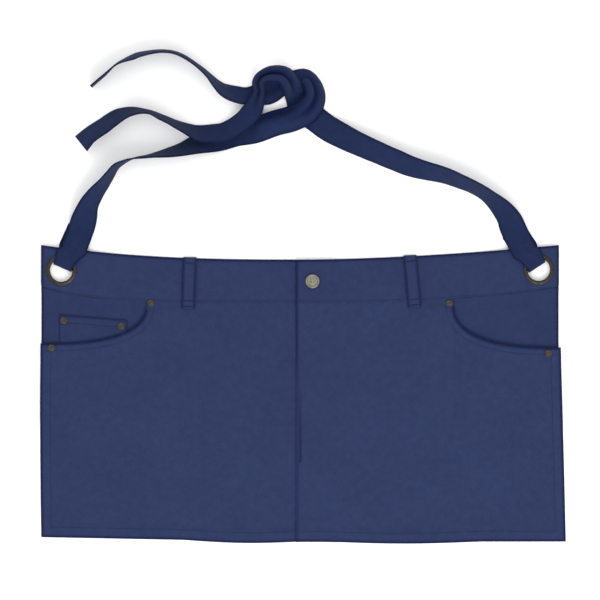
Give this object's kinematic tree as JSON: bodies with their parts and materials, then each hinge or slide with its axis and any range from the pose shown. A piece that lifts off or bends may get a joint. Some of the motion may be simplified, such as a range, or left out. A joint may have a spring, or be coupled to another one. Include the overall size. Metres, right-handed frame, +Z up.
{
  "type": "waist apron",
  "caption": "Short waist apron of navy twill, jeans style, with curved front pockets, a buttoned waistband, belt loops and ties knotted through metal eyelets.",
  "frame": {"origin": "under the middle of the whole apron with its ties, on the surface that it lies on", "axes": "+Z up from the surface, out of the apron's front; +Y from the hem to the waistband and the ties; +X across, to the viewer's right"},
  "size_m": [0.6504, 0.6122, 0.0338],
  "materials": {
    "navy_twill": "matte cotton twill",
    "tie_cloth": "matte cotton twill",
    "button_metal": "antique nickel",
    "rivet_brass": "aged brass",
    "eyelet_metal": "antique gunmetal"
  },
  "bodies": {
    "root": {"skirt_left": "navy_twill", "skirt_right": "navy_twill", "waistband_left": "navy_twill", "waistband_right": "navy_twill", "pocket_back_left": "navy_twill", "pocket_back_right": "navy_twill", "coin_pocket": "navy_twill", "belt_loop_left": "navy_twill", "belt_loop_right": "navy_twill", "button": "button_metal", "rivet_1": "rivet_brass", "rivet_2": "rivet_brass", "rivet_3": "rivet_brass", "rivet_4": "rivet_brass", "rivet_5": "rivet_brass", "rivet_6": "rivet_brass", "eyelet_left": "eyelet_metal", "eyelet_right": "eyelet_metal", "strap_left": "tie_cloth", "strap_right": "tie_cloth"}
  },
  "joints": []
}
